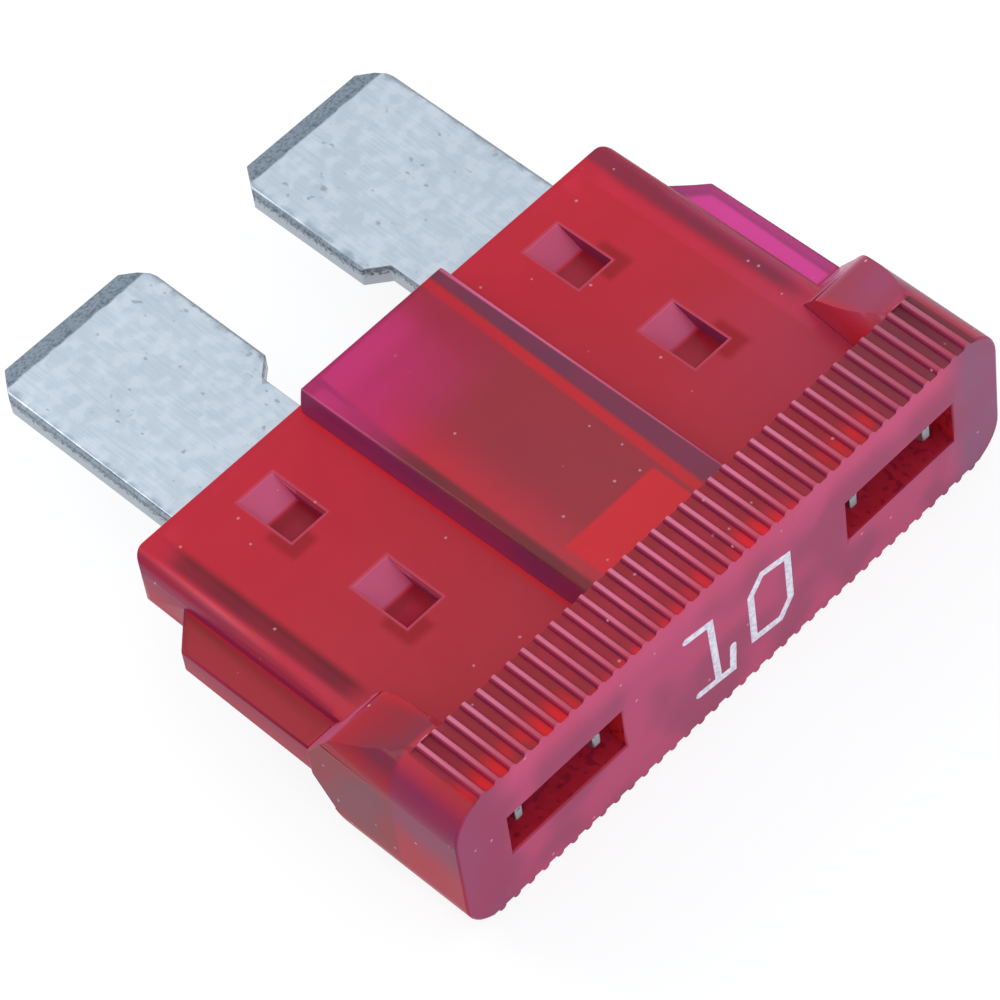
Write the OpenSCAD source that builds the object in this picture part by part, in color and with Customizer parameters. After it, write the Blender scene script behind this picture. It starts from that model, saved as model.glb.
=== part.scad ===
// Automotive blade fuse, standard size, 10 A, with a small lamp that glows once the link has blown.
// It lies flat: X runs along the width, Y from the head towards the blade tips, Z up.
// The modules are drawn with Y counted from the head's end face and Z from the mid-plane.

/* [Overall] */
// Length from the head's end face to the blade tips
overall_length = 19.4; // [19:0.1:21]
// Length of the blades outside the body
blade_reach = 7.1; // [6.5:0.1:7.5]

/* [Head] */
// Width of the head across its two rounded ends
head_width = 19.1; // [18.8:0.1:22]
// Thickness of the head over the rib crests
head_thickness = 5.15; // [4.6:0.05:6.5]
// Distance from the end face to the back edge of the ribbed part
head_depth = 2.1; // [1.8:0.05:2.3]
// Run of the slope behind the ribbed part, down to the body
head_back_run = 0.35; // [0.1:0.05:0.5]
// Radius of the upper long edges at both ends of the head
head_top_radius = 1.3; // [1:0.05:1.3]
// Radius of the lower long edges at both ends of the head
head_base_radius = 1.2; // [1:0.05:1.3]

/* [Ears] */
// Distance that the two ears of the head reach from the end face
ear_depth = 5.15; // [4.5:0.05:5.5]
// Width of each ear
ear_width = 2.15; // [1.8:0.05:2.4]
// Fall of an ear's top from the ribbed part to its crest
ear_drop = 0.85; // [0.3:0.05:1]
// Distance from an ear's crest to its back
ear_crest_run = 0.9; // [0.6:0.05:1.1]
// Radius of an ear's crest, seen from the side
ear_crest_radius = 0.8; // [0.4:0.05:1.2]
// Height of an ear's back
ear_back_height = 1; // [1:0.05:1.6]
// Radius of an ear's long inner edges
ear_inner_radius = 0.9; // [0.2:0.05:1]
// Angle by which an ear grows narrower towards its back
ear_taper = 6; // [0:0.5:8]

/* [Grip ribs] */
// Distance between two ribs
rib_pitch = 0.5; // [0.45:0.05:1]
// Height of a rib over the groove beside it, half of a rib's width
rib_height = 0.12; // [0.05:0.01:0.2]
// Distance from each end of the head to the ribbed field
rib_margin = 0.75; // [0.7:0.05:4]

/* [Body] */
// Distance that the body's sides lie inside the ends of the head
body_inset = 1; // [0.9:0.05:1.2]
// Thickness of the body at the blade end
body_thickness = 1.85; // [1.7:0.05:2.2]
// Rise of each broad face from the blade end to the head
body_draft = 0.2; // [0:0.05:0.4]
// Radius of the body's corners at the blade end
body_corner_radius = 0.5; // [0.2:0.05:0.8]
// Radius of the body's long edges
body_edge_radius = 0.4; // [0.1:0.05:0.45]

/* [Centre panel] */
// Width of the raised centre panel at its foot
panel_width = 5.3; // [4.8:0.1:6]
// Rise of the centre panel over the body
panel_rise = 0.6; // [0.5:0.05:0.8]
// Run of the centre panel's sloped sides
panel_slope = 0.22; // [0.1:0.02:0.4]
// Radius of the centre panel's corners at the blade end
panel_corner_radius = 0.3; // [0.1:0.05:0.5]

/* [Side fins] */
// Distance that a fin stands out from the body
fin_reach = 0.95; // [0.5:0.05:0.95]
// Thickness of a fin at its front
fin_thickness = 0.7; // [0.5:0.05:0.8]
// Distance from the body's blade end to the foot of a fin's slanted front
fin_setback = 1.85; // [0.8:0.05:4]
// Length of the slanted front of a fin
fin_chamfer = 0.9; // [0.3:0.05:1.2]

/* [Test slots] */
// Distance from each end of the head to a test slot
slot_margin = 1.66; // [1.4:0.02:2]
// Width of a test slot
slot_width = 3.92; // [3.4:0.02:4.2]
// Height of a test slot
slot_height = 1.5; // [1:0.05:1.8]
// Depth of a test slot
slot_depth = 1.3; // [1.2:0.05:1.5]

/* [Stakes] */
// Distance from a blade's centre line outwards to its stakes
stake_offset = 0.775; // [0.3:0.025:1]
// Distance from the end face to the stakes near the head
stake_near = 6.4; // [6:0.1:6.8]
// Distance from the body's blade end to the stakes near the blades
stake_setback = 1.9; // [1.6:0.1:2.4]
// Width of a stake's pocket
stake_width = 1.2; // [0.8:0.05:1.4]
// Length of a stake's pocket
stake_length = 1.9; // [1.4:0.05:2]
// Depth of a stake's pocket
stake_depth = 0.42; // [0.2:0.02:0.46]
// Length of the ramp on the blade side of a stake's pocket
stake_ramp = 0.8; // [0.3:0.05:1]
// Width of the plastic that a stake presses through the metal
peg_width = 1; // [0.7:0.05:1.1]
// Length of the plastic that a stake presses through the metal
peg_length = 1.2; // [0.8:0.05:1.5]

/* [Blades] */
// Width of a blade
blade_width = 5.2; // [4.9:0.05:5.3]
// Distance between the centres of the two blades
blade_spacing = 8.65; // [8.6:0.05:9]
// Thickness of the stamped metal
blade_thickness = 0.65; // [0.5:0.01:0.8]
// Thickness of a blade at its tip
tip_thickness = 0.32; // [0.2:0.01:0.4]
// Length of the bevel at a blade's tip
tip_bevel = 0.45; // [0.2:0.05:0.8]
// Width that each corner of a tip loses
tip_corner_width = 0.6; // [0.3:0.05:1]
// Length that each corner of a tip loses
tip_corner_length = 0.85; // [0.3:0.05:1.2]
// Roll-over of the stamped edges on the upper face
edge_roll = 0.1; // [0.04:0.01:0.15]
// Depth of the step on a blade's inner edge
shoulder_step = 0.6; // [0.3:0.05:0.8]
// Distance from the body to the step's narrow end
shoulder_height = 1.75; // [1.2:0.05:3]
// Length of the sloped shoulder
shoulder_run = 0.5; // [0.2:0.05:0.8]

/* [Test tabs] */
// Width of the tab that each blade sends into its test slot
tab_width = 2.94; // [2.4:0.02:3]
// Distance from the end face to the tab's two points
tab_start = 0.35; // [0.2:0.05:0.6]
// Width of each point of a tab
tab_point = 0.25; // [0.15:0.01:0.4]
// Depth of the notch between a tab's points
tab_notch = 0.75; // [0.4:0.05:0.8]
// Distance from the end face to the shoulders of the blades' inner ends
terminal_start = 2.75; // [2.6:0.05:3]
// Distance from those shoulders to the step on a blade's outer edge
tab_rise = 0.9; // [0.6:0.05:1.5]

/* [Fusible link] */
// Width of the thin link between the blades
link_width = 0.6; // [0.3:0.05:0.9]
// Thickness of the thin link and of the lamp arms
link_thickness = 0.3; // [0.2:0.01:0.4]
// Mean radius of the link's two bends
link_radius = 0.65; // [0.6:0.05:0.7]
// Half length of the straight run between the bends
link_run = 0.35; // [0.1:0.05:0.5]

/* [Blown-fuse lamp] */
// Width of the lamp's carrier board
board_width = 2.6; // [2.3:0.05:2.8]
// Length of the lamp's carrier board
board_length = 2; // [1.6:0.05:2.3]
// Thickness of the lamp's carrier board
board_thickness = 0.3; // [0.2:0.01:0.4]
// Distance from the end face to the board's near edge
board_start = 2.75; // [2.6:0.05:3]
// Width of the arms that carry the board
arm_width = 0.9; // [0.5:0.05:1.2]
// Length of an arm's seat under the board
arm_seat = 0.4; // [0.2:0.05:0.5]
// Width of the lamp chip
lamp_width = 1.6; // [1.2:0.05:1.8]
// Length of the lamp chip
lamp_length = 0.8; // [0.6:0.05:0.9]
// Height of the lamp chip
lamp_height = 0.42; // [0.3:0.01:0.45]
// Distance between the lamp chip and the resistor chip
chip_gap = 0.25; // [0.15:0.05:0.3]
// Width of the resistor chip
resistor_width = 1; // [0.8:0.05:1.6]
// Length of the resistor chip
resistor_length = 0.5; // [0.3:0.05:0.6]
// Height of the resistor chip
resistor_height = 0.35; // [0.25:0.01:0.4]

/* [Fits] */
// Clearance between the stamped metal and the moulding
metal_clearance = 0.05; // [0.03:0.01:0.08]
// Width of the chamber behind the centre panel
chamber_width = 3.6; // [3.4:0.1:3.8]
// Clearance over the lamp and along the board in the chamber
lamp_clearance = 0.1; // [0.05:0.01:0.15]
// Height of the chamber's flared mouth
mouth_height = 2.2; // [1.8:0.05:2.3]
// Height of the chamber round the link
chamber_height = 1.5; // [1.2:0.05:1.8]
// Length of the flare at the chamber's mouth
mouth_run = 1.2; // [0.6:0.1:1.6]

/* [Hidden] */
$fn = 48;
// Overshoot of a cut past the face that it opens
cut = 0.2;
// Overlap of the link and the arms with the blades that they grow from
bond = 0.15;
body_end = overall_length - blade_reach;
head_half = head_thickness / 2;
body_half = body_thickness / 2;
rib_field = head_width - 2 * rib_margin;
body_width = head_width - 2 * body_inset;
fin_end = body_end - fin_setback - fin_chamfer;
slot_centre = head_width / 2 - slot_margin - slot_width / 2;
blade_centre = blade_spacing / 2;
stake_centre = blade_centre + stake_offset;
stake_far = body_end - stake_setback;
blade_half = blade_thickness / 2;
link_half = link_thickness / 2;
blade_outer = blade_centre + blade_width / 2;
blade_inner = blade_centre - blade_width / 2;
terminal_inner = blade_inner + shoulder_step;
tab_outer = slot_centre + tab_width / 2;
tab_inner = slot_centre - tab_width / 2;
shoulder_y = body_end + shoulder_height;
tab_root = terminal_start + tab_rise;
board_bottom = link_half;
board_top = board_bottom + board_thickness;
board_centre = board_start + board_length / 2;
link_centre = (board_start + board_length + body_end - mouth_run) / 2;
cavity_half = blade_half + metal_clearance;
cavity_outer = max(tab_outer, blade_outer) + metal_clearance;
cavity_start = terminal_start - metal_clearance;
rib_reach = floor((rib_field / 2 - rib_height) / rib_pitch);

// Moves a piece from the drawing's frame to the part's own frame
module place() {
    translate([0, -overall_length / 2, head_half]) children();
}

// Extrudes a section drawn in X and Z along Y, from y0 to y1
module along_y(y0, y1) {
    translate([0, y1, 0]) rotate([90, 0, 0]) linear_extrude(y1 - y0) children();
}

// Extrudes a side view drawn in Y and Z over the given width, centred on X = 0
module along_x(width) {
    translate([-width / 2, 0, 0]) rotate([90, 0, 90]) linear_extrude(width) children();
}

// Extrudes a plan drawn in X and Y over the given height, centred on the mid-plane
module along_z(height) {
    translate([0, 0, -height / 2]) linear_extrude(height) children();
}

// Repeats a piece on the left and on the right
module both_sides() {
    children();
    mirror([1, 0, 0]) children();
}

// Rectangle with true round corners
module rounded_rect(width, height, radius) {
    square([width - 2 * radius, height], center = true);
    square([width, height - 2 * radius], center = true);
    for (x = [-1, 1], y = [-1, 1])
        translate([x * (width / 2 - radius), y * (height / 2 - radius)]) circle(radius);
}

// Outline of the head as seen on its end face, without ribs
module head_outline() {
    for (half = [[0, head_top_radius], [-head_thickness, head_base_radius]])
        intersection() {
            rounded_rect(head_width, head_thickness, half[1]);
            translate([-head_width / 2, half[0]]) square([head_width, head_thickness]);
        }
}

// Outline of the head with the groove field cut back and its round ribs
module ribbed_outline() {
    difference() {
        head_outline();
        for (side = [-1, 1])
            translate([0, side * head_half]) square([rib_field, 2 * rib_height], center = true);
    }
    for (side = [-1, 1], i = [-rib_reach : rib_reach])
        translate([i * rib_pitch, side * (head_half - rib_height)]) circle(rib_height);
}

// Side view of the body at a given half thickness at the blade end
module drafted_side(half, start, end) {
    grow = body_draft / (body_end - head_depth);
    root = half + grow * (body_end - start);
    tip = half + grow * (body_end - end);
    polygon([[start, -root], [end, -tip], [end, tip], [start, root]]);
}

// Ribbed middle of the head with its sloped back
module head_middle() {
    root = body_half + body_draft;
    back = head_depth + head_back_run;
    intersection() {
        along_y(0, back) ribbed_outline();
        along_x(head_width)
            polygon([[0, -head_half], [head_depth, -head_half], [back, -root],
                     [back, root], [head_depth, head_half], [0, head_half]]);
    }
}

// Upper half of an ear's side view: a sloped top, a round crest and a steep fall to its back
module ear_side_half() {
    crest = [ear_depth - ear_crest_run, head_half - ear_drop];
    fall = atan(ear_drop / (crest[0] - head_depth));
    steep = atan((crest[1] - ear_back_height / 2) / ear_crest_run);
    reach = ear_crest_radius * tan((steep - fall) / 2);
    start = crest - reach * [cos(fall), -sin(fall)];
    end = crest + reach * [cos(steep), -sin(steep)];
    polygon([[head_depth, 0], [head_depth, head_half], start, end,
             [ear_depth, ear_back_height / 2], [ear_depth, 0]]);
    translate(start - ear_crest_radius * [sin(fall), cos(fall)]) circle(ear_crest_radius);
}

// One ear of the head, narrower and lower towards its back
module ear() {
    inner = head_width / 2 - ear_width;
    intersection() {
        along_y(head_depth, ear_depth) head_outline();
        translate([inner, head_depth, 0]) rotate([0, 0, -ear_taper]) translate([ear_width, 0, 0])
            along_y(0, ear_depth) rounded_rect(2 * ear_width, head_thickness, ear_inner_radius);
        along_x(2 * head_width) {
            ear_side_half();
            mirror([0, 1, 0]) ear_side_half();
        }
    }
}

// Plan of the body with round corners at the blade end
module body_plan() {
    start = head_depth / 2;
    length = body_end - start;
    translate([0, body_end - length / 2]) rounded_rect(body_width, length, body_corner_radius);
}

// Bar whose upper face has the body's draft, with round long edges
module drafted_bar() {
    translate([0, body_end, body_half]) rotate([-atan(body_draft / (body_end - head_depth)), 0, 0])
        translate([0, 0, -head_half]) along_y(-body_end, cut)
            rounded_rect(body_width, head_thickness, body_edge_radius);
}

// Flat body between the ears and the blade end
module body_block() {
    intersection() {
        along_z(head_thickness) body_plan();
        drafted_bar();
        mirror([0, 0, 1]) drafted_bar();
    }
}

// Raised centre panel on both broad faces
module centre_panel() {
    foot = panel_width / 2;
    top = foot - panel_slope;
    high = body_half + body_draft + panel_rise;
    low = body_half;
    slope = panel_slope / panel_rise;
    wide = foot + (high - panel_rise - low) * slope;
    intersection() {
        along_y(head_depth / 2, body_end)
            polygon([[-wide, -low], [-wide, low], [-top, high], [top, high],
                     [wide, low], [wide, -low], [top, -high], [-top, -high]]);
        along_x(2 * panel_width) drafted_side(body_half + panel_rise, head_depth / 2, body_end);
        along_z(head_thickness) translate([0, body_end / 2])
            rounded_rect(2 * wide, body_end, panel_corner_radius);
    }
}

// One side fin with its slanted front
module fin() {
    root = body_width / 2 - body_corner_radius;
    outer = body_width / 2 + fin_reach;
    intersection() {
        along_z(head_thickness)
            polygon([[root, head_depth], [outer, head_depth], [outer, fin_end],
                     [outer - fin_reach, fin_end + fin_chamfer], [root, fin_end + fin_chamfer]]);
        along_x(2 * head_width) drafted_side(fin_thickness / 2, head_depth, fin_end + fin_chamfer);
    }
}

// One test slot in the end face
module test_slot() {
    translate([slot_centre - slot_width / 2, -cut, -slot_height / 2])
        cube([slot_width, slot_depth + cut, slot_height]);
}

// Stepped room for the stamped metal, as wide as the metal slides in from the blade end
module metal_room() {
    width = 2 * cavity_outer;
    translate([-width / 2, cavity_start, -cavity_half])
        cube([width, body_end - cavity_start + cut, 2 * cavity_half]);
    both_sides() translate([tab_inner - metal_clearance, slot_depth - cut, -cavity_half])
        cube([cavity_outer - tab_inner + metal_clearance, cavity_start - slot_depth + 2 * cut,
              2 * cavity_half]);
}

// Chamber behind the centre panel, round the link, with a flared mouth
module link_chamber() {
    low = chamber_height / 2;
    high = mouth_height / 2;
    flare = body_end - mouth_run;
    grow = (high - low) / mouth_run;
    along_x(chamber_width)
        polygon([[board_start, -low], [flare, -low], [body_end + cut, -high - grow * cut],
                 [body_end + cut, high + grow * cut], [flare, low], [board_start, low]]);
}

// Higher room over the lamp board near the head
module lamp_room() {
    top = board_top + max(lamp_height, resistor_height) + lamp_clearance;
    translate([-chamber_width / 2, board_start - lamp_clearance, -chamber_height / 2])
        cube([chamber_width, board_length + 2 * lamp_clearance, top + chamber_height / 2]);
}

// Places something at the four stakes
module at_stakes() {
    for (x = [-stake_centre, stake_centre], y = [stake_near, stake_far])
        translate([x, y, 0]) children();
}

// Height of the body's broad face at a distance from the end face
function face_height(y) = body_half + body_draft * (body_end - y) / (body_end - head_depth);

// Pocket of a stake on the upper face, with its ramp on the blade side
module stake_pocket(y) {
    top = face_height(y);
    rim = top + cut;
    ramp_out = cut * stake_ramp / stake_depth;
    translate([0, y, 0]) along_x(stake_width)
        polygon([[-stake_length / 2, rim], [-stake_length / 2, top - stake_depth],
                 [stake_length / 2 - stake_ramp, top - stake_depth],
                 [stake_length / 2 + ramp_out, rim]]);
}

// All stake pockets on one broad face
module stake_pockets() {
    for (x = [-stake_centre, stake_centre], y = [stake_near, stake_far])
        translate([x, 0, 0]) stake_pocket(y);
}

// Plastic that each stake presses through the metal's window
module stake_pegs() {
    at_stakes() cube([peg_width, peg_length, 2 * cavity_half + cut], center = true);
}

// The moulded housing: head, ears, body, centre panel, fins, slots and stakes
module housing() {
    color([0.78, 0.12, 0.22, 0.85]) place() {
        difference() {
            union() {
                head_middle();
                both_sides() ear();
                body_block();
                centre_panel();
                both_sides() fin();
            }
            both_sides() test_slot();
            metal_room();
            link_chamber();
            lamp_room();
            stake_pockets();
            mirror([0, 0, 1]) stake_pockets();
        }
        stake_pegs();
    }
}

// Plan of the right blade, from its tip to the two points of its test tab
module blade_plan() {
    tip = overall_length;
    notch_y = tab_start + tab_notch;
    polygon([
        [blade_inner + tip_corner_width, tip], [blade_outer - tip_corner_width, tip],
        [blade_outer, tip - tip_corner_length], [blade_outer, tab_root],
        [tab_outer, tab_root - tab_point], [tab_outer, tab_start],
        [tab_outer - tab_point, tab_start], [tab_outer - 2 * tab_point, notch_y],
        [tab_inner + 2 * tab_point, notch_y], [tab_inner + tab_point, tab_start],
        [tab_inner, tab_start], [tab_inner, terminal_start], [terminal_inner, terminal_start],
        [terminal_inner, shoulder_y], [blade_inner, shoulder_y + shoulder_run],
        [blade_inner, tip - tip_corner_length]]);
}

// Cross-section of the right blade, with its rolled upper edges
module blade_section() {
    polygon([[blade_inner, -blade_half], [blade_outer, -blade_half],
             [blade_outer, blade_half - edge_roll], [blade_outer - edge_roll, blade_half],
             [blade_inner + edge_roll, blade_half], [blade_inner, blade_half - edge_roll]]);
}

// Side view of the blades with the bevelled tips
module blade_side() {
    tip = overall_length;
    tip_half = tip_thickness / 2;
    polygon([[0, -blade_half], [tip - tip_bevel, -blade_half], [tip, -tip_half],
             [tip, tip_half], [tip - tip_bevel, blade_half], [0, blade_half]]);
}

// Right blade with its windows for the stakes
module blade() {
    difference() {
        intersection() {
            along_z(blade_thickness) blade_plan();
            union() {
                along_y(tab_root, overall_length) blade_section();
                translate([0, 0, -blade_half]) cube([head_width, tab_root, blade_thickness]);
            }
            along_x(2 * head_width) blade_side();
        }
        for (y = [stake_near, stake_far])
            translate([stake_centre, y, 0])
                cube([peg_width + 2 * metal_clearance, peg_length + 2 * metal_clearance,
                      blade_thickness + cut], center = true);
    }
}

// Half of a round bend of the link, opening to the left
module link_bend() {
    outer = link_radius + link_width / 2;
    intersection() {
        difference() {
            circle(outer);
            circle(link_radius - link_width / 2);
        }
        translate([0, -outer]) square([outer, 2 * outer]);
    }
}

// Plan of the S-shaped link between the two blades
module link_plan() {
    reach = terminal_inner + bond;
    for (turn = [0, 180]) translate([0, link_centre]) rotate(turn) {
        translate([link_run, link_radius]) link_bend();
        translate([-reach, 2 * link_radius - link_width / 2]) square([reach + link_run, link_width]);
    }
    translate([-link_run, link_centre - link_width / 2]) square([2 * link_run, link_width]);
}

// Plan of the right arm that carries the lamp board
module arm_plan() {
    start = board_width / 2 - arm_seat;
    translate([start, board_centre - arm_width / 2])
        square([terminal_inner + bond - start, arm_width]);
}

// The stamped fuse element: two blades, the thin link and the two lamp arms
module fuse_element() {
    color([0.76, 0.8, 0.84]) place() {
        both_sides() blade();
        along_z(link_thickness) link_plan();
        along_z(link_thickness) both_sides() arm_plan();
    }
}

// Carrier board of the blown-fuse lamp, lying on the two arms
module indicator_board() {
    color([0.9, 0.88, 0.78]) place()
        translate([-board_width / 2, board_start, board_bottom])
            cube([board_width, board_length, board_thickness]);
}

// Lamp chip on the half of the board nearer the head
module indicator_lamp() {
    color([0.95, 0.93, 0.85]) place()
        translate([-lamp_width / 2, board_centre - lamp_length, board_top])
            cube([lamp_width, lamp_length, lamp_height]);
}

// Resistor chip on the half of the board nearer the blades
module indicator_resistor() {
    color([0.15, 0.15, 0.16]) place()
        translate([-resistor_width / 2, board_centre + chip_gap, board_top])
            cube([resistor_width, resistor_length, resistor_height]);
}

housing();
fuse_element();
indicator_board();
indicator_lamp();
indicator_resistor();
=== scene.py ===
# %% [markdown]
# A blade fuse is two flat metal blades, joined by a thin link, inside a housing of clear red
# plastic. This notebook loads the measured solids of the fuse as a fixed frame and dresses them:
# it softens the moulded edges, gives every piece its finish, paints light and shade into the
# housing's colours, prints the rating on the head and lights the whole on a white floor. Blender
# counts in metres, so one constant turns millimetres into scene units.

# %% Load the measured solids
import math

import bmesh
import bpy
import numpy as np
from mathutils import Matrix, Vector


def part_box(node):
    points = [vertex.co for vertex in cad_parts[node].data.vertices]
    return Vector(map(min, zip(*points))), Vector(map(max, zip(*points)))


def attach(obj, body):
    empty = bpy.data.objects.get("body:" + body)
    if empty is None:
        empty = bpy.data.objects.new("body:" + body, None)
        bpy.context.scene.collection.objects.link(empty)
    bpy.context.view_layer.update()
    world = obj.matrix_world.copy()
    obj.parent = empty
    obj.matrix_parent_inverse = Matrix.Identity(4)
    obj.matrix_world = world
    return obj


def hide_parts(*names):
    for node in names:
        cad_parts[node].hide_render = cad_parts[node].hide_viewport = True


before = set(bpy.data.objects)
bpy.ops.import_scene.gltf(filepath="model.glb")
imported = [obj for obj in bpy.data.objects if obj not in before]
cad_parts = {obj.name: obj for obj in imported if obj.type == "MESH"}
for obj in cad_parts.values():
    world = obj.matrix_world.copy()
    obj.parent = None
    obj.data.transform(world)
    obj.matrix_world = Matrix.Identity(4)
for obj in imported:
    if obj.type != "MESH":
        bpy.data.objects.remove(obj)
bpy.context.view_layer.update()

MM = 0.001
BODY = "root"
print("solids:", sorted(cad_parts))

# %% [markdown]
# Everything later is placed from a few faces of the solids: the head's end face, the body's blade
# end, the blade tips and the mid-plane of the metal. They are measured here from the boxes of the
# solids, so that the finishes follow the fuse if its sizes change. From now on a place is told in
# millimetres, with Y counted from the end face and Z from the mid-plane.

# %% Measure where things are
housing_low, housing_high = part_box("housing")
_, metal_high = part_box("fuse_element")
END_Y = housing_low.y
MID_Z = (housing_low.z + housing_high.z) / 2
BODY_END = (housing_high.y - END_Y) / MM
BLADE_TIP = (metal_high.y - END_Y) / MM
HEAD_FACE = (housing_high.z - MID_Z) / MM
print("from the end face in mm: body end", round(BODY_END, 2), "blade tips", round(BLADE_TIP, 2))

# %% [markdown]
# The photograph was taken with a long lens from above the head's left corner. A camera is placed
# by an azimuth and an elevation, which say from where it looks, a roll that turns the picture, and
# a distance from an aim point. Its three axes are built as vectors and put straight into the
# camera's matrix, because that leaves no doubt about the order of the turns.

# %% Place the camera
AZIMUTH = math.radians(-38.54)
ELEVATION = math.radians(53.62)
ROLL = math.radians(-9.22)
DISTANCE = 130.0 * MM
AIM = Vector((-0.9 * MM, END_Y + 7.16 * MM, 2.27 * MM))
LENS = 189.4


def camera_axes(azimuth, elevation, roll):
    """Back points from the aim to the camera. Right is level, and up is back times right. The
    roll turns right and up about back."""
    back = Vector((math.sin(azimuth) * math.cos(elevation),
                   -math.cos(azimuth) * math.cos(elevation), math.sin(elevation)))
    level = Vector((math.cos(azimuth), math.sin(azimuth), 0))
    raised = back.cross(level)
    right = math.cos(roll) * level + math.sin(roll) * raised
    up = math.cos(roll) * raised - math.sin(roll) * level
    return right, up, back


def add_camera():
    """A camera whose matrix holds its right, up and back axes as columns."""
    right, up, back = camera_axes(AZIMUTH, ELEVATION, ROLL)
    camera = bpy.data.cameras.new("camera")
    camera.lens = LENS
    camera.clip_start = 5 * MM
    camera.clip_end = 10
    seen = bpy.data.objects.new("camera", camera)
    bpy.context.scene.collection.objects.link(seen)
    turn = Matrix((right, up, back)).transposed().to_4x4()
    seen.matrix_world = Matrix.Translation(AIM + back * DISTANCE) @ turn
    bpy.context.scene.camera = seen
    return seen


print("camera at", [round(c / MM, 1) for c in add_camera().location])

# %% [markdown]
# A material is a graph of nodes, and long graphs are easier to read as sums. The class below wraps
# the output of a node: plus, minus and times on it add Math nodes, and one method makes every other
# kind of node. Its step and band turn a place into a mask from 0 to 1, which is how a finish
# changes from one stretch of the fuse to the next. Numbers that never change over a surface
# are worked out in Python instead.

# %% A wrapper for node outputs
class Signal:
    """An output in a material's node tree, or the bare tree where it holds none."""

    def __init__(self, tree, socket=None):
        self.tree = tree
        self.socket = socket

    def node(self, kind, settings=None, inputs=None, out=0):
        """Adds a node of a type, sets its settings first, then its values and links."""
        made = self.tree.nodes.new(kind)
        for name, value in (settings or {}).items():
            setattr(made, name, value)
        for name, value in (inputs or {}).items():
            if isinstance(value, Signal):
                self.tree.links.new(value.socket, made.inputs[name])
            else:
                made.inputs[name].default_value = value
        return Signal(self.tree, made.outputs[out])

    def math(self, operation, *values, clamp=False):
        """A Math node on up to three values or signals."""
        return self.node("ShaderNodeMath", {"operation": operation, "use_clamp": clamp},
                         dict(enumerate(values)))

    def __add__(self, other):
        return self.math("ADD", self, other)

    def __radd__(self, other):
        return self.math("ADD", other, self)

    def __sub__(self, other):
        return self.math("SUBTRACT", self, other)

    def __rsub__(self, other):
        return self.math("SUBTRACT", other, self)

    def __mul__(self, other):
        return self.math("MULTIPLY", self, other)

    def __rmul__(self, other):
        return self.math("MULTIPLY", other, self)

    def __abs__(self):
        return self.math("ABSOLUTE", self)

    def clamped(self):
        """The signal held between 0 and 1."""
        return self.math("ADD", self, 0.0, clamp=True)

    def step(self, low, high):
        """0 below low, 1 above high and a smooth rise between them; low may be the larger."""
        return self.node("ShaderNodeMapRange", {"interpolation_type": "SMOOTHSTEP"},
                         {"Value": self, "From Min": low, "From Max": high})

    def band(self, low, high, soft):
        """1 between low and high, fading out over the soft distance at both."""
        return self.step(low - soft, low + soft) * self.step(high + soft, high - soft)

    def parts(self):
        """The three parts of a vector."""
        split = self.node("ShaderNodeSeparateXYZ", {}, {0: self}).socket.node
        return [Signal(self.tree, split.outputs[i]) for i in range(3)]

    def tint(self, under, over):
        """A colour that is under where the signal is 0 and over where it is 1."""
        return self.node("ShaderNodeMix", {"data_type": "RGBA"},
                         {0: self, 6: under, 7: over}, out=2)

    def noise(self, scale, detail=2.0):
        """Soft random hills from 0 to 1 at a vector, so many a millimetre."""
        return self.node("ShaderNodeTexNoise", {}, {"Vector": self, "Scale": scale,
                                                    "Detail": detail})

    def stretched(self, along_x, along_y, along_z):
        """The vector with each part multiplied, so that a pattern on it is drawn out."""
        return self.node("ShaderNodeMapping", {}, {"Vector": self,
                                                   "Scale": (along_x, along_y, along_z)})


def linear(red, green, blue):
    """A colour as a screen shows it, 0 to 255, as the scene's own light values."""
    shares = np.array([red, green, blue]) / 255
    low = shares / 12.92
    high = ((shares + 0.055) / 1.055) ** 2.4
    return (*(float(c) for c in np.where(shares <= 0.04045, low, high)), 1.0)


def new_material(name):
    """A material with an empty tree, as (material, signal of the bare tree)."""
    material = bpy.data.materials.new(name)
    material.use_nodes = True
    material.node_tree.nodes.clear()
    return material, Signal(material.node_tree)


def show(tree, surface):
    """Ends a material with its surface."""
    made = tree.tree.nodes.new("ShaderNodeOutputMaterial")
    tree.tree.links.new(surface.socket, made.inputs["Surface"])


def in_millimetres(tree):
    """The place on the object in millimetres: X from the middle, Y from the end face, Z from the
    mid-plane."""
    place = tree.node("ShaderNodeTexCoord", {}, {}, out="Object")
    return tree.node("ShaderNodeMapping", {}, {
        "Vector": place,
        "Scale": (1 / MM, 1 / MM, 1 / MM),
        "Location": (0, -END_Y / MM, -MID_Z / MM),
    })


print("a mid red as light values:", [round(c, 3) for c in linear(180, 58, 70)])

# %% [markdown]
# A product picture has a bright, even surround and a white ground. The floor here is matt white
# paint, which catches the soft shadow, mixed with a plain white glow that only rays from the
# camera, from polished metal and through clear plastic can see. So the ground reads as
# white, also in and through the fuse, without a brighter lamp that would bleach the plastic.

# %% Floor and light
FLOOR_REACH = 0.6
GLOW_SHARE = 0.8
GLOW_STRENGTH = 1.06
SKY_COLOUR = (0.91, 0.97, 1.04, 1)
SKY_STRENGTH = 0.9
KEY_PLACE = (-0.06, 0.28, 0.2)
KEY_SIZE = 0.2
KEY_POWER = 0.35


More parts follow.
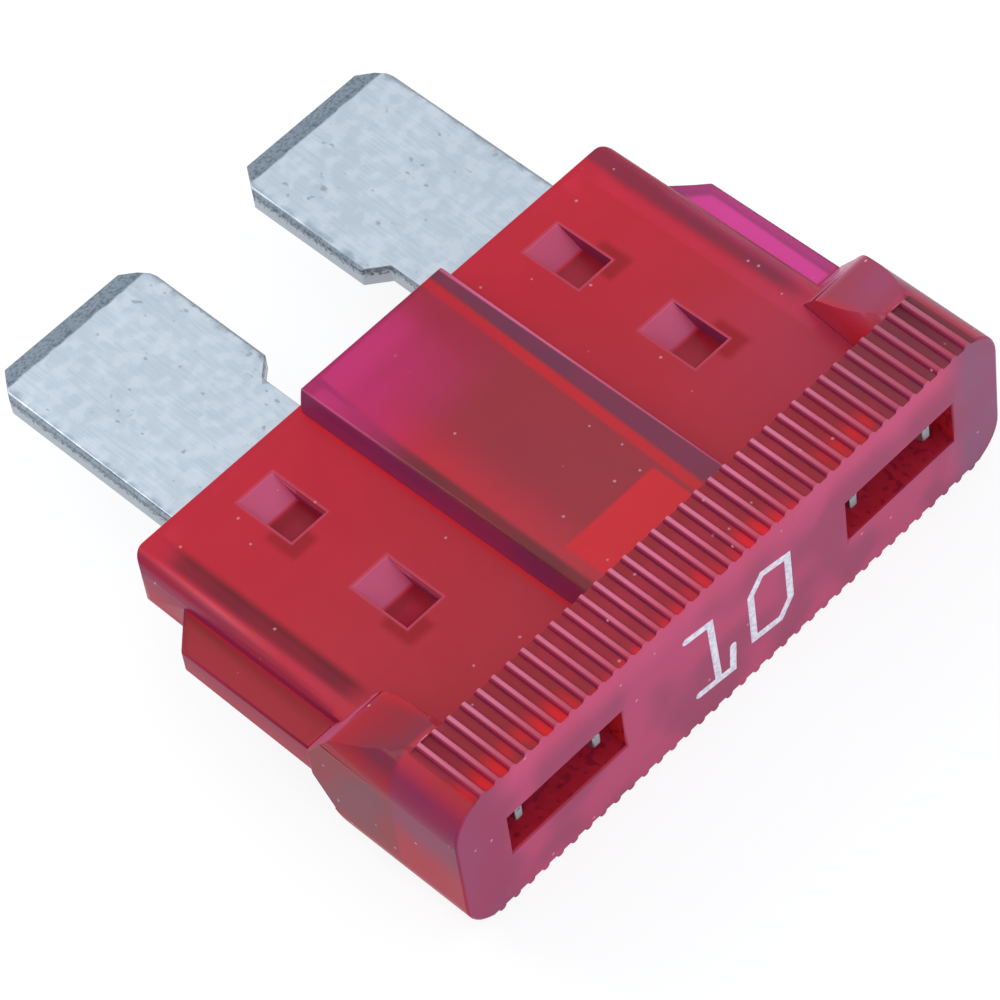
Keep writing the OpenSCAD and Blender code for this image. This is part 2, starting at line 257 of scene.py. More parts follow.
def add_floor():
    """A square of white paint, part of which glows for rays that look at it."""
    mesh = bpy.data.meshes.new("floor")
    square = (-1, -1), (1, -1), (1, 1), (-1, 1)
    mesh.from_pydata([(x * FLOOR_REACH, y * FLOOR_REACH, 0) for x, y in square], [], [(0, 1, 2, 3)])
    floor = bpy.data.objects.new("floor", mesh)
    bpy.context.scene.collection.objects.link(floor)
    material, tree = new_material("white_floor")
    paint = tree.node("ShaderNodeBsdfPrincipled", {}, {"Base Color": linear(245, 246, 248),
                                                       "Roughness": 0.8})
    glow = tree.node("ShaderNodeEmission", {}, {"Color": (1, 1, 1, 1),
                                                "Strength": GLOW_STRENGTH})
    rays = tree.node("ShaderNodeLightPath", {}, {}).socket.node.outputs
    looked_at = [Signal(tree.tree, rays[name]) for name in
                 ("Is Camera Ray", "Is Glossy Ray", "Is Transmission Ray")]
    seen = looked_at[0].math("MAXIMUM", looked_at[0], looked_at[1])
    seen = seen.math("MAXIMUM", seen, looked_at[2])
    show(tree, tree.node("ShaderNodeMixShader", {}, {0: seen * GLOW_SHARE, 1: paint, 2: glow}))
    mesh.materials.append(material)


def add_softbox(name, place, size, power):
    """A square lamp at a place, facing the origin."""
    lamp = bpy.data.lights.new(name, "AREA")
    lamp.shape = "SQUARE"
    lamp.size = size
    lamp.energy = power
    box = bpy.data.objects.new(name, lamp)
    bpy.context.scene.collection.objects.link(box)
    box.location = place
    box.rotation_mode = "QUATERNION"
    box.rotation_quaternion = Vector(place).to_track_quat("Z", "Y")


def add_sky(colour, strength):
    """An even surround of one pale colour."""
    world = bpy.data.worlds.new("studio")
    bpy.context.scene.world = world
    world.use_nodes = True
    world.node_tree.nodes.clear()
    tree = Signal(world.node_tree)
    light = tree.node("ShaderNodeBackground", {}, {"Color": colour, "Strength": strength})
    made = world.node_tree.nodes.new("ShaderNodeOutputWorld")
    world.node_tree.links.new(light.socket, made.inputs["Surface"])


add_floor()
add_sky(SKY_COLOUR, SKY_STRENGTH)
add_softbox("key_light", KEY_PLACE, KEY_SIZE, KEY_POWER)
bpy.context.scene.view_settings.view_transform = "Standard"
print("key light", round(Vector(KEY_PLACE).length, 2), "m away")

# %% [markdown]
# A measured solid arrives as loose triangles with razor-sharp edges, and no moulding or stamping
# has those. A copy of it can be welded, its flats made whole again, and its edges rounded by a
# Bevel modifier. The modifier takes a weight for each edge, so the edge table below measures all
# edges at once: where they are, how long, how sharply the two faces turn, and if they stand out.
# A Weighted Normal modifier then keeps the large flats flat in the light.

# %% Weld a copy and measure its edges
WELD = 0.0001 * MM
FLAT_TURN = math.radians(0.2)


def welded_copy(node, name):
    """A copy of a solid's mesh with its loose triangles welded and its flats made whole."""
    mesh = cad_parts[node].data.copy()
    mesh.name = name
    sheet = bmesh.new()
    sheet.from_mesh(mesh)
    bmesh.ops.remove_doubles(sheet, verts=sheet.verts, dist=WELD)
    bmesh.ops.dissolve_limit(sheet, angle_limit=FLAT_TURN, verts=sheet.verts, edges=sheet.edges)
    sheet.to_mesh(mesh)
    sheet.free()
    mesh.materials.clear()
    made = bpy.data.objects.new(name, mesh)
    bpy.context.scene.collection.objects.link(made)
    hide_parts(node)
    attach(made, BODY)
    return made


def read_floats(items, name, width):
    """One attribute of many mesh items as an array with so many columns."""
    values = np.empty(len(items) * width)
    items.foreach_get(name, values)
    return values.reshape(-1, width)


def edge_table(mesh):
    """For each edge: its middle and its length in millimetres, the turn between its two faces in
    degrees, and whether it stands out. It does where the second face's centre lies behind the
    plane of the first."""
    corners = read_floats(mesh.vertices, "co", 3) / MM
    ends = read_floats(mesh.edges, "vertices", 2).astype(int)
    normals = read_floats(mesh.polygons, "normal", 3)
    centres = read_floats(mesh.polygons, "center", 3) / MM
    counts = read_floats(mesh.polygons, "loop_total", 1)[:, 0].astype(int)
    along = read_floats(mesh.loops, "edge_index", 1)[:, 0]
    face = np.repeat(np.arange(len(counts)), counts)
    pair = face[np.argsort(along, kind="stable")].reshape(-1, 2)
    first, second = normals[pair[:, 0]], normals[pair[:, 1]]
    turn = np.degrees(np.arccos(np.clip((first * second).sum(1), -1, 1)))
    middle = corners[ends].mean(1) - np.array([0, END_Y / MM, MID_Z / MM])
    length = np.linalg.norm(corners[ends[:, 0]] - corners[ends[:, 1]], axis=1)
    stands_out = ((centres[pair[:, 1]] - centres[pair[:, 0]]) * first).sum(1) < 0
    return middle, length, turn, stands_out


# %% [markdown]
# The housing's mould leaves its outer edges a little round. The ribs and the ears are modelled with
# round crests of their own, and the inner cavities and the stake pockets are cut by steel cores and
# stay crisp, so those edges get no weight. The places that tell them apart are named here: X from
# the middle, Y from the end face and the height from the mid-plane, all in millimetres.

# %% Round the housing's outer edges
PANEL_HALF = 2.43
BODY_SIDE = 8.55
BROAD_FACE = 1.1
RIB_SIDE = 8.8
RIB_BACK = 2.1
EAR_SIDE = 7.2
EAR_BACK = 5.15
STAKE_X = 5.1
STAKE_ROWS = (6.4, 10.4)
SHARP_DEGREES = 28
MOULD_RADIUS = 0.06 * MM


def soften(piece, weights, width):
    """Rounds the edges that have a weight; weights is one number an edge."""
    mesh = piece.data
    store = mesh.attributes.new("bevel_weight_edge", "FLOAT", "EDGE")
    store.data.foreach_set("value", weights.astype(np.float32))
    mesh.shade_smooth()
    mesh.set_sharp_from_angle(angle=math.radians(SHARP_DEGREES))
    bevel = piece.modifiers.new("soft_edges", "BEVEL")
    bevel.limit_method = "WEIGHT"
    bevel.width = width
    bevel.segments = 2
    bevel.use_clamp_overlap = False
    bevel.harden_normals = False
    even = piece.modifiers.new("even_flats", "WEIGHTED_NORMAL")
    even.mode = "FACE_AREA"
    even.weight = 100
    even.keep_sharp = True


def moulded_edges(mesh):
    """A weight for each edge of the housing: 1 where the mould leaves a round edge."""
    middle, _, turn, out = edge_table(mesh)
    x, y, z = np.abs(middle[:, 0]), middle[:, 1], np.abs(middle[:, 2])
    ribs = (y < RIB_BACK + 0.4) & (z > HEAD_FACE - 0.175) & (x < RIB_SIDE)
    inside = (z < BROAD_FACE + 0.02) & (x < BODY_SIDE - 0.01) & (y > 1.2)
    pocket = (np.abs(x - STAKE_X) < 0.7) & (z > 0.4) & (z < BROAD_FACE + 0.2) & (y > 5)
    ears = (x > EAR_SIDE) & (z > BROAD_FACE - 0.05) & (y > RIB_BACK - 0.1) & (y < EAR_BACK + 0.05)
    return np.where((turn > SHARP_DEGREES) & out & ~(ribs | inside | pocket | ears), 1.0, 0.0)


housing = welded_copy("housing", "moulded_housing")
weights = moulded_edges(housing.data)
soften(housing, weights, MOULD_RADIUS)
print("housing edges:", len(weights), "softened:", int(weights.sum()))

# %% [markdown]
# The housing is clear polymer with a red dye and a little cloudiness, and each stretch of it shows
# another tone: dark where metal lies behind, bright where light comes through, pink where it is
# thin. These tones of light and shade are painted into the colour, laid over one another like coats
# of thin paint. A coat is a mask, a strength and a colour, and every part of the housing below gives
# its own short list of coats. They all ask the same questions of a spot, so one class holds the
# answers.

# %% A spot on the housing and its coats
class Spot:
    """Where a spot lies in millimetres, how the surface leans there, and its slow clouds and its
    fine grain. Wide and high are the distances from the middle and from the mid-plane."""

    def __init__(self, tree):
        self.place = in_millimetres(tree)
        self.x, self.y, self.z = self.place.parts()
        self.wide = abs(self.x)
        self.high = abs(self.z)
        self.lean = tree.node("ShaderNodeTexCoord", {}, {}, out="Normal").parts()
        self.clouds = self.place.noise(0.45, 1.0)
        self.grain = self.place.noise(6.0, 0.0)
        self.patches = self.clouds.step(0.42, 0.6)


def either(first, second):
    """The stronger of two masks."""
    return first.math("MAXIMUM", first, second)


def screen_colour(colour):
    """A signal as it is, or three screen values as light values."""
    return colour if isinstance(colour, Signal) else linear(*colour)


def blend(mask, under, over):
    """A tone from under to over along a mask."""
    return mask.tint(screen_colour(under), screen_colour(over))


def painted(skin, coats):
    """A skin with each coat laid over it in turn."""
    for mask, strength, colour in coats:
        skin = (mask * strength).tint(skin, screen_colour(colour))
    return skin


print("a coat's pink as light values:", [round(c, 3) for c in screen_colour((232, 38, 132))])

# %% [markdown]
# The centre panel is raised over the link. Its blade end is thin with only the ground behind it,
# and a magenta glow is painted there. Its two long flanks bend the light away, so painted shade
# darkens them, each with a painted bright red line beside it, a painted highlight runs along its
# right edge and a strip of painted shade lies near the blade end, right of the middle. Next to the
# head a bright field is painted where the pale lamp board lies behind the plastic.

# %% The centre panel
PANEL_START = RIB_BACK + 0.2
PANEL_TAPER = 0.035
BOARD_GLOW_X = (-1.8, 1.3)
BOARD_GLOW_BACK = 3.83


def panel_masks(at):
    """The panel, its thin blade end with painted glow, and the strip of painted shade beside it."""
    panel = at.wide.step(PANEL_HALF + 0.32, PANEL_HALF + 0.12) * at.high.step(1.15, 1.3)
    panel = panel * at.y.step(PANEL_START, PANEL_START + 0.2)
    thin_end_glow = at.y.step(BODY_END - 4.2, BODY_END - 0.8) * at.x.step(2.1, -0.8) * panel
    shade_strip = at.x.band(0.9, 1.7, 0.4) * at.y.step(8.4, 10.4) * panel
    return panel, thin_end_glow, shade_strip


def panel_coats(at):
    """The panel's coats of painted light and shade. Its right flank runs inwards by the taper for
    each millimetre towards the head, and a bright field is painted over the lamp board."""
    panel, thin_end_glow, shade_strip = panel_masks(at)
    inset = PANEL_HALF - 0.3 - (BODY_END - at.y) * PANEL_TAPER
    right_flank_shade = (at.x - inset).step(-0.07, 0.02) * panel
    right_glow = (at.x - inset).band(-0.36, -0.08, 0.06) * panel
    left_flank_shade = at.x.step(-PANEL_HALF + 0.38, -PANEL_HALF + 0.2) * panel
    left_glow = at.x.band(-PANEL_HALF - 0.38, -PANEL_HALF - 0.24, 0.05) * at.high.step(1.3, 1.2)
    board_glow = at.x.band(*BOARD_GLOW_X, 0.07) * at.y.band(PANEL_START + 0.1, BOARD_GLOW_BACK, 0.06) * panel
    edge_highlight = at.x.band(PANEL_HALF - 0.03, PANEL_HALF + 0.1, 0.03) * at.high.step(1.45, 1.55)
    flank_shade_tone = blend(at.x.step(-1, 1), (122, 40, 48), (122, 52, 82))
    return [
        (panel * at.x.step(-2.2, -0.6), 0.8, (154, 48, 58)),
        # A bright field painted over the lamp board.
        (board_glow, 1.0, (232, 34, 46)),
        # Painted shade on both long flanks, and a painted bright red line beside each.
        (either(right_flank_shade, left_flank_shade), 1.0, flank_shade_tone),
        (either(right_glow, left_glow), 0.6, (244, 20, 28)),
        # A painted magenta glow on the thin blade end.
        (thin_end_glow, 1.0, (232, 38, 132)),
        # A strip of painted shade near the blade end, right of the middle.
        (shade_strip, 0.6, (160, 36, 70)),
        # A painted highlight along the panel's right edge.
        (edge_highlight * at.y.step(PANEL_START, PANEL_START + 0.2), 1.0, (236, 110, 150)),
    ]


# %% [markdown]
# Along both sides the body rounds off. Along the edge of the metal inside a dark shelf of painted
# shade runs, more so on the left side, and a violet sheen is painted on the right shoulder. The
# right fin has only the white ground behind it and gets a painted pink glow, while the left fin is
# painted dark red as its own shade.

# %% The body's sides and fins
def fins_mask(at):
    """Both fins: what lies outside the body, between the ears and the blades."""
    return at.wide.step(BODY_SIDE - 0.02, BODY_SIDE + 0.12) * at.y.step(EAR_BACK, EAR_BACK + 0.15)


def right_fin_mask(at):
    """The fin on the right side."""
    return fins_mask(at) * at.x.step(-1, 1)


def side_coats(at):
    """The coats of the shelf's painted shade, the shoulder's painted sheen, the stretch towards the
    right ear, and the fins' painted glow and shade.
    """
    shelf_shade = at.wide.band(BODY_SIDE - 0.95, BODY_SIDE - 0.42, 0.15)
    shelf_shade = shelf_shade * at.y.band(5.0, BODY_END - 0.9, 0.5) * (0.3 + at.x.step(1, -1) * 0.7)
    shelf_shade = shelf_shade * at.high.step(1.3, 1.2) * at.high.step(0.85, 0.9)
    shoulder_sheen = at.x.band(BODY_SIDE - 0.8, BODY_SIDE, 0.14) * at.y.step(4.6, 6.0)
    return [
        # Painted shade along the shelf, stronger on the left side.
        (shelf_shade, 1.0, (118, 20, 30)),
        (at.x.step(2.5, 7.5) * at.y.step(8.0, 3.0), 0.4, (196, 66, 106)),
        # A painted violet sheen on the right shoulder.
        (shoulder_sheen * at.high.step(0.6, 0.8), 0.75, (132, 46, 76)),
        # Painted shade on the left fin and a painted pink glow on the right fin.
        (fins_mask(at) * at.x.step(1, -1), 1.0, (168, 46, 46)),
        (right_fin_mask(at), 1.0, (242, 78, 168)),
    ]


# %% [markdown]
# Four stakes hold the metal, and pressing them left a pocket on each broad face. Each pocket gets a
# painted highlight on its ramp, painted shadow in its deep pit, a thin pale painted highlight on
# its rim and a painted shade on the plastic beside it. Folding X about the pockets' line and Y
# about each row brings all pockets over one drawing.

# %% The stake pockets
POCKET_ACROSS = 0.6
POCKET_ALONG = 0.95


def pocket_coats(at):
    """The coats of painted shade beside the pockets, highlight on ramps and rims, shadow in the
    pits.
    """
    between = sum(STAKE_ROWS) / 2
    across = abs(at.wide - STAKE_X)
    rows = [at.y - row for row in STAKE_ROWS]
    near = abs(at.y - between).step(0.5, 0.6)
    down = (rows[0] * at.y.step(between + 0.05, between)
            + rows[1] * at.y.step(between, between + 0.05))
    inside = across.step(POCKET_ACROSS + 0.02, POCKET_ACROSS - 0.02)
    inside = inside * abs(down).step(POCKET_ALONG + 0.02, POCKET_ALONG - 0.02) * near
    ramp_highlight = inside * down.step(0.1, 0.2) * at.high.step(0.4, 0.45)
    pit_shadow = inside * down.step(0.12, 0.02) * at.high.step(BROAD_FACE - 0.16, BROAD_FACE - 0.19)
    rim_highlight = across.step(POCKET_ACROSS + 0.1, POCKET_ACROSS + 0.04)
    rim_highlight = rim_highlight * abs(down).step(POCKET_ALONG + 0.1, POCKET_ALONG + 0.04) * near - inside
    shade = (at.wide - STAKE_X).band(0.1, 0.95, 0.12) * down.band(-1.4, -0.35, 0.15) * near - inside
    on_top = at.high.step(0.9, 0.95)
    return [
        # Painted shade beside the pockets, painted highlights on ramps and rims, painted shadow in
        # pits.
        (shade.clamped() * on_top, 1.0, (176, 22, 36)),
        (ramp_highlight, 1.0, (234, 100, 142)),
        (pit_shadow, 1.0, (160, 20, 40)),
        (rim_highlight.clamped() * on_top, 1.0, (214, 74, 100)),
    ]


# %% [markdown]
# The ribs have pale crests of painted highlight over grooves of painted shade, and a red glow is
# painted in the grooves near the end face.
# The end face is painted a soft mauve sheen with faint clouds, lighter pink near its top edge and
# bluer at its right corner. Side walls and rounded edges are seen at a flat angle, and painted shade
# darkens them, with a violet sheen painted on the walls' upper half; the two slots show the red of
# their floor.

# %% The head, the walls and the slots
SLOT_SIDES = (3.9, 7.9)
SLOT_HALF = 0.76
SLOT_DEPTH = 1.36


def rib_masks(at):
    """The ribs' crests for a painted highlight and their grooves for painted shade, on both broad
    faces.
    """
    field = at.y.step(RIB_BACK + 0.1, RIB_BACK) * at.wide.step(RIB_SIDE + 0.02, RIB_SIDE)
    crest_highlight = at.high.step(HEAD_FACE - 0.02, HEAD_FACE - 0.004) * at.y.step(-1.2, RIB_BACK) * field
    groove_shade = at.high.band(HEAD_FACE - 0.16, HEAD_FACE - 0.035, 0.02) * field
    return crest_highlight, groove_shade


def flat_angle_masks(at):
    """The end face, the side walls and the body's rounded long edges, by how they lean."""
    end_face = (0.0 - at.lean[1]).step(0.5, 0.9) * at.y.step(0.1, 0.04)
    wall = abs(at.lean[0]).step(0.45, 0.85)
    round_edge = abs(at.lean[0]).band(0.3, 0.85, 0.15)
    round_edge = round_edge * at.wide.step(BODY_SIDE - 0.55, BODY_SIDE - 0.35)
    return end_face, wall, round_edge * at.y.step(EAR_BACK - 0.05, EAR_BACK + 0.15)


def head_coats(at):
    """The coats of painted light and shade on the ribs, the end face, the walls and the rounded
    edges.
    """
    crest_highlight, groove_shade = rib_masks(at)
    end_face, wall, round_edge = flat_angle_masks(at)
    red_glow = groove_shade * at.y.step(1.0, 0.2) * at.x.step(7.0, 5.0) * at.patches
    end_sheen_tone = blend(at.patches, (196, 66, 112), (164, 66, 108))
    end_sheen_tone = blend(at.z.step(1.2, 2.3), end_sheen_tone, (212, 76, 122))
    end_sheen_tone = blend(at.x.step(7.4, 8.5), end_sheen_tone, (148, 78, 116))
    end_sheen_tone = blend(at.x.step(-7.4, -8.5), end_sheen_tone, (160, 60, 102))
    return [
        # Painted highlight on the crests, painted shade in the grooves and a painted red glow in
        # them.
        (crest_highlight, 1.0, blend(at.x.step(3.5, 7.5), (242, 134, 166), (204, 118, 142))),
        (groove_shade, 1.0, blend(at.x.step(4.0, 8.0), (170, 44, 54), (136, 58, 72))),
        (red_glow, 1.0, (252, 26, 34)),
        # A painted mauve sheen on the end face, painted shade and sheen on the walls, and shade on
        # rounded edges.
        (end_face, 0.95, end_sheen_tone),
        (wall, 0.9, blend(at.z.step(-0.6, 0.9), (166, 8, 46), (122, 38, 78))),
        (round_edge, 1.0, (146, 34, 60)),
    ]


def slot_coats(at):
    """The floor and the walls of the two test slots, with their dark specks."""
    slot = at.high.step(SLOT_HALF + 0.03, SLOT_HALF) * at.y.band(0.06, SLOT_DEPTH, 0.02)
    slot = slot * at.wide.band(*SLOT_SIDES, 0.02)
    return [(slot, 1.0, blend(at.grain.step(0.6, 0.68), (196, 34, 40), (150, 20, 34)))]


# %% [markdown]
# The two ears slope from the ribs down to the body. They are solid plastic without metal inside. The
# left ear is painted brown as shade and the right one mauve as a sheen, with painted red light at
# their foot and a pale painted sheen on the slope that faces the blades.

# %% The ears
def ear_mask(at):
    """Both ears: beside and above the body, from the ribs to where the ears end."""
    behind_ribs = at.y.step(RIB_BACK, RIB_BACK + 0.25) * at.y.step(EAR_BACK + 0.06, EAR_BACK + 0.02)
    raised = at.high.step(BROAD_FACE, BROAD_FACE + 0.12)
    beside = at.wide.step(BODY_SIDE + 0.05, BODY_SIDE + 0.15)
    return at.wide.step(EAR_SIDE - 0.1, EAR_SIDE + 0.05) * behind_ribs * either(raised, beside)


def ear_coats(at):
    """The ears' coats of painted shade, sheen and red light."""
    ear = ear_mask(at)
    left_ear_shade = blend(at.patches, (118, 42, 60), (128, 34, 46))
    right_ear_sheen = blend(at.patches, (148, 66, 98), (140, 62, 84))
    return [
        # Painted shade on the left ear, sheen on the right, red light at the foot, sheen on the back
        # slope.
        (ear, 0.85, blend(at.x.step(-1, 1), left_ear_shade, right_ear_sheen)),
        (ear * at.high.band(1.25, 1.95, 0.2) * at.x.step(1, -1), 0.3, (200, 24, 38)),
        (ear * at.wide.step(8.0, 7.4), 0.7, (206, 26, 36)),
        (ear * at.lean[1].step(0.55, 0.8) * at.y.step(3.9, 4.1), 0.6, (196, 110, 150)),
    ]


# %% [markdown]
# What is seen of the plastic is a mix. Part of the light goes through, and one shader with full
# transmission makes that part: it shows the metal and the white ground behind. The rest is scattered
# back just under the skin, and a second shader without transmission makes it, in the coats' colours
# with their painted light and shade. A mask says how large that share is. A few grains of dust and a
# faint bump finish the surface.

# %% The red plastic
SHINE = 0.12
CLOUDINESS = 0.7


def haze(at):
    """The share of light that is scattered: less in thin plastic, more at flat angles."""
    _, thin_end_glow, shade_strip = panel_masks(at)
    end_face, wall, round_edge = flat_angle_masks(at)
    clearing = thin_end_glow * 0.3 + right_fin_mask(at) * 0.34 - shade_strip * 0.1
    skins = end_face * 0.34 + wall * 0.36 + round_edge * 0.36
    return (CLOUDINESS - clearing + skins + ear_mask(at) * 0.36).clamped()


def scattered_colour(at):
    """The colour of the scattered light: the coats, with their painted light and shade, over the
    dye.
    """
    dust = at.place.node("ShaderNodeTexVoronoi", {}, {"Vector": at.place, "Scale": 1.4})
    coats = panel_coats(at) + side_coats(at) + pocket_coats(at) + head_coats(at) + ear_coats(at)
    coats += slot_coats(at) + [
        (at.patches, 0.14, (190, 26, 42)),
        (dust.step(0.075, 0.04), 0.6, (240, 176, 192)),
    ]
    return painted(blend(at.y.step(BODY_END, RIB_BACK), (218, 34, 58), (198, 50, 64)), coats)


def passing_colour(at):
    """The colour of the light that goes through, painted pinker at the thin panel end and the right
    fin.
    """
    _, thin_end_glow, _ = panel_masks(at)
    through = blend(thin_end_glow, (238, 60, 120), (232, 54, 160))
    return blend(right_fin_mask(at), through, (234, 54, 160))


def red_plastic():
    """The clear and the cloudy shader, mixed by the haze."""
    material, tree = new_material("red_plastic")
    at = Spot(tree)
    bumps = tree.node("ShaderNodeBump", {}, {"Height": at.grain, "Strength": 0.04,
                                             "Distance": 0.01 * MM})
    surface = {"Roughness": 0.29 + at.clouds.step(0.3, 0.7) * 0.06, "IOR": 1.5,
               "Specular IOR Level": SHINE, "Normal": bumps}
    clear = tree.node("ShaderNodeBsdfPrincipled", {}, {
        "Base Color": passing_colour(at), "Transmission Weight": 1.0, **surface})
    cloudy = tree.node("ShaderNodeBsdfPrincipled", {}, {
        "Base Color": scattered_colour(at), **surface})
    show(tree, tree.node("ShaderNodeMixShader", {}, {0: haze(at), 1: clear, 2: cloudy}))
    return material


housing.data.materials.append(red_plastic())
print("plastic nodes:", len(housing.data.materials[0].node_tree.nodes))

# %% [markdown]
# The element is punched from a bright zinc strip: the broad faces keep the fine mottle of the
# rolled strip, while the punched edges are torn and darker, and the tips are pressed to a bevel
# that comes out dull. The corners are rolled over a little, so a narrow bevel runs round them. One
# metal material holds all of this: the edges are found by their lean, and the bevels by their
# distance from the tips.

# %% The stamped element
BEVEL_LENGTH = 0.58
BLADE_X = 4.325
BLADE_HALF = 2.6
ROLLED_RADIUS = 0.03 * MM
SHORTEST_EDGE = 0.15
PUNCHED_DEGREES = 30


def zinc():
    """Bright metal with a mottle, fine rolling lines, dull bevels and dark punched edges."""
    material, tree = new_material("bright_zinc")
    place = in_millimetres(tree)
    x, y, z = place.parts()
    lean = tree.node("ShaderNodeTexCoord", {}, {}, out="Normal").parts()
    flat = abs(lean[2]).step(0.55, 0.97)
    lines = place.stretched(16.0, 0.8, 16.0).noise(1.0, 2.0)
    mottle = place.noise(2.4, 4.0)
    blotches = place.noise(0.7, 3.0)
    pits = place.stretched(5.0, 3.0, 5.0).noise(1.0, 1.0) + blotches * 0.25
    from_edge = BLADE_HALF - abs(abs(x) - BLADE_X)
    # A darker, mottled band along the long edges of each blade.
    darker_edge_band = (from_edge + mottle * 0.7).step(0.62, 0.36)
    tip_edge = y + mottle * 0.14
    bevel = tip_edge.step(BLADE_TIP - BEVEL_LENGTH, BLADE_TIP - BEVEL_LENGTH + 0.08)
    knurl = place.noise(11.0, 2.0).step(0.4, 0.7)
    torn = (z + knurl * 0.16).step(0.08, 0.22)

    metal = painted(blend(lines.step(0.4, 0.62) * 0.35, (204, 212, 220), (180, 190, 199)), [
        (blotches.step(0.35, 0.62), 0.45, (190, 199, 206)),
        (mottle.step(0.45, 0.62), 0.45, (220, 225, 228)),
        (pits.step(0.82, 0.92), 0.7, (148, 157, 164)),
        (darker_edge_band, 0.6, (136, 146, 154)),
    ])
    cut_edge = blend(torn, (176, 185, 193), blend(knurl, (140, 150, 160), (92, 102, 112)))
    metal = blend(flat, cut_edge, metal)
    metal = blend(bevel, metal, blend(knurl, (138, 148, 158), (106, 116, 126)))
    height = lines * 0.5 + mottle
    bumps = tree.node("ShaderNodeBump", {}, {"Height": height, "Strength": 0.2,
                                             "Distance": 0.01 * MM})
    skin = tree.node("ShaderNodeBsdfPrincipled", {}, {
        "Base Color": metal, "Roughness": 0.36 + mottle * 0.12, "Metallic": 1.0, "Normal": bumps})
    show(tree, skin)
    return material


metal = welded_copy("fuse_element", "stamped_element")
_, length, turn, _ = edge_table(metal.data)
weights = np.where((turn > PUNCHED_DEGREES) & (length > SHORTEST_EDGE), 1.0, 0.0)
soften(metal, weights, ROLLED_RADIUS)
metal.data.materials.append(zinc())
print("element edges:", len(weights), "softened:", int(weights.sum()))

# %% [markdown]
# Behind the centre panel a pale board carries a lamp chip and a resistor chip, which are only seen
# as shades through the red plastic. Their solids are already right, so they keep them and only get
# a finish each: woven laminate, glazed ceramic, and a dark printed film. One helper makes the three,
# since they are all a matt skin of two shades with a fine pattern.

# %% The lamp's board and chips
def two_shades(name, first, second, scale, roughness):
    """A skin whose two shades mix by a fine noise at a scale in hills a millimetre."""
    material, tree = new_material(name)
    pattern = in_millimetres(tree).noise(scale, 3.0)
    colour = blend(pattern.step(0.35, 0.65), first, second)
    rough = pattern * 0.2 + (roughness - 0.1)
    show(tree, tree.node("ShaderNodeBsdfPrincipled", {}, {"Base Color": colour,
                                                         "Roughness": rough}))
    return material


FINISHES = {
    "indicator_board": ("pale_laminate", (226, 214, 182), (206, 192, 156), 7.0, 0.6),
    "indicator_lamp": ("glazed_ceramic", (244, 240, 226), (230, 224, 205), 3.0, 0.3),
    "indicator_resistor": ("printed_film", (34, 34, 38), (52, 50, 52), 9.0, 0.5),
}
for node, finish in FINISHES.items():
    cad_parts[node].data.materials.clear()
    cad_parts[node].data.materials.append(two_shades(*finish))
print("finished inside:", list(FINISHES))

# %% [markdown]
# The rating is hot-stamped in white on the end face, as plain numbers of thin strokes with a
# little thickness. Text objects would need a font of just this form, so each stroke is drawn by
# its corners instead: a flat oval section is carried along the stroke, widened at each corner by
# the mitre rule, and pulled in to a round tip at open ends.

# %% The stamped rating
STROKE = 0.23
STAMP_RISE = 0.025
STAMP_SINK = 0.02
ONE = [(-1.72, 3.74), (-0.89, 3.58), (-0.78, 1.1)]
ONE_FOOT = [(-1.48, 1.2), (-0.78, 1.1), (-0.28, 1.02), (-0.21, 1.9)]
ZERO = [(0.95, 3.65), (1.85, 3.45), (1.85, 1.75), (1.45, 1.24), (0.52, 1.4), (0.52, 3.15)]


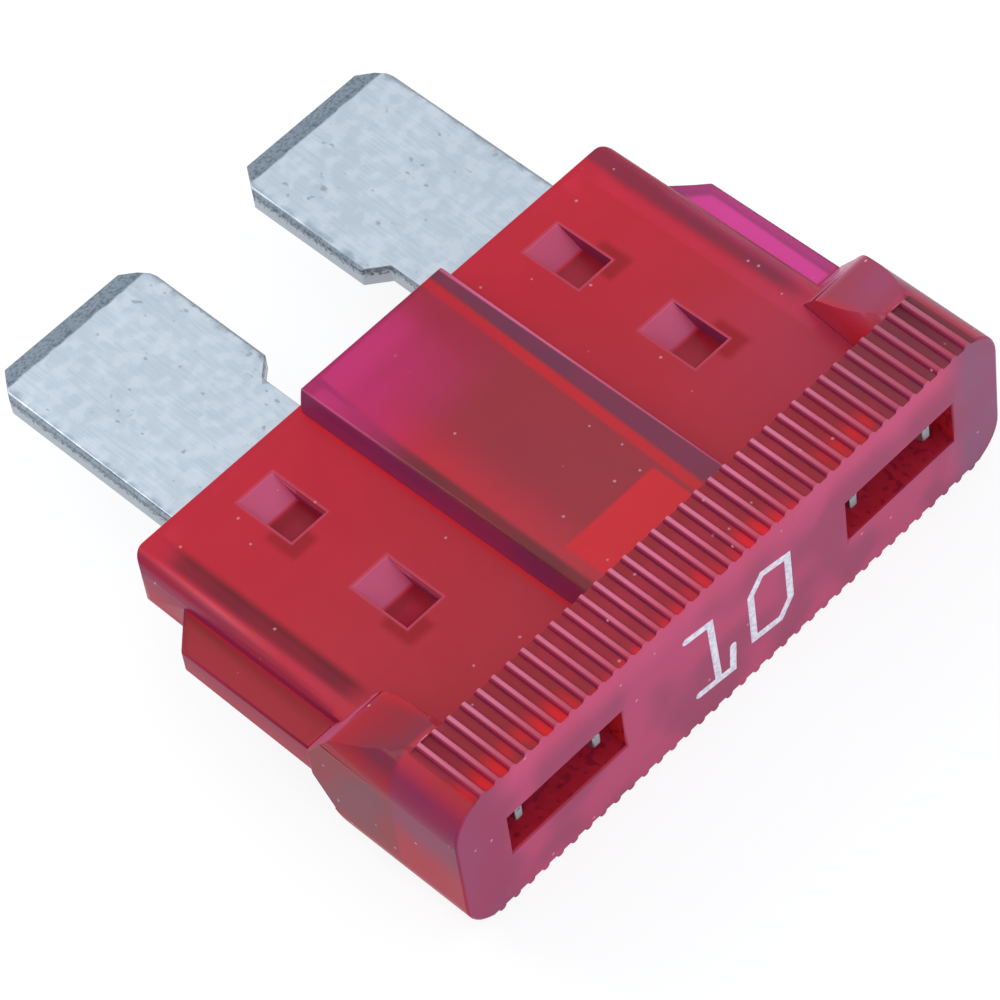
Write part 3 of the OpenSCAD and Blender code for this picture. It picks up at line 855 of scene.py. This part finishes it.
def stroke_rings(path, closed):
    """The path's points, with three more at each open end for its round tip, and the stroke's
    direction and half width at each. At a corner the direction halves the turn, and the width
    grows by one over the cosine of half the turn."""
    path = np.array(path)
    after = np.roll(path, -1, 0) - path
    after /= np.linalg.norm(after, axis=1, keepdims=True)
    before = np.roll(after, 1, 0)
    if not closed:
        before[0] = after[0]
        after[-1] = before[-1]
    along = before + after
    along /= np.linalg.norm(along, axis=1, keepdims=True)
    widths = STROKE / 2 / (along * before).sum(1)
    if closed:
        return path, along, widths
    angles = np.radians([80, 55, 30])
    reach = np.sin(angles)[:, None] * STROKE / 2
    path = np.concatenate([path[:1] - reach * along[0], path, path[-1:] + reach[::-1] * along[-1]])
    tips = np.cos(angles) * STROKE / 2
    widths = np.concatenate([tips, widths, tips[::-1]])
    along = np.concatenate([along[:1].repeat(3, 0), along, along[-1:].repeat(3, 0)])
    return path, along, widths


def stroke_mesh(path, closed=False):
    """Points and faces of one raised stroke: at ring i and angle a its point lies sideways by the
    width times the cosine of a, and out of the face by the rise times the sine of a."""
    path, along, widths = stroke_rings(path, closed)
    angles = np.linspace(0, math.pi, 7)
    side = np.stack([-along[:, 1], along[:, 0]], 1)
    across = path[:, None] + side[:, None] * widths[:, None, None] * np.cos(angles)[None, :, None]
    height = STAMP_RISE * np.sin(angles) * np.minimum(1, widths / widths.max() * 1.5)[:, None]
    top = np.stack([across[..., 0], -height, across[..., 1]], -1)
    under = top[:, [-1, 0]]
    under[..., 1] = STAMP_SINK
    rings = np.concatenate([top, under], 1)
    count, around = rings.shape[:2]
    ids = np.arange(count * around).reshape(count, around)
    following = np.roll(ids, -1, 0) if closed else ids[1:]
    here = ids if closed else ids[:-1]
    turned = np.roll(here, -1, 1), np.roll(following, -1, 1)
    faces = np.stack([here, turned[0], turned[1], following], -1).reshape(-1, 4).tolist()
    if not closed:
        faces += [ids[0].tolist(), ids[-1].tolist()]
    return rings.reshape(-1, 3), faces


def add_rating():
    """All strokes of the rating as one piece, a hair proud of the end face."""
    sheet = bmesh.new()
    for path, closed in ((ONE, False), (ONE_FOOT, False), (ZERO, True)):
        points, faces = stroke_mesh(path, closed)
        points = points * MM + np.array([0, END_Y, 0])
        corners = [sheet.verts.new(point) for point in points]
        for face in faces:
            sheet.faces.new([corners[i] for i in face])
    bmesh.ops.recalc_face_normals(sheet, faces=sheet.faces)
    mesh = bpy.data.meshes.new("stamped_rating")
    sheet.to_mesh(mesh)
    sheet.free()
    mesh.shade_smooth()
    made = bpy.data.objects.new("stamped_rating", mesh)
    bpy.context.scene.collection.objects.link(made)
    mesh.materials.append(two_shades("white_foil", (252, 248, 252), (226, 214, 232), 8.0, 0.5))
    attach(made, BODY)
    return made


rating = add_rating()
print("rating faces:", len(rating.data.polygons))
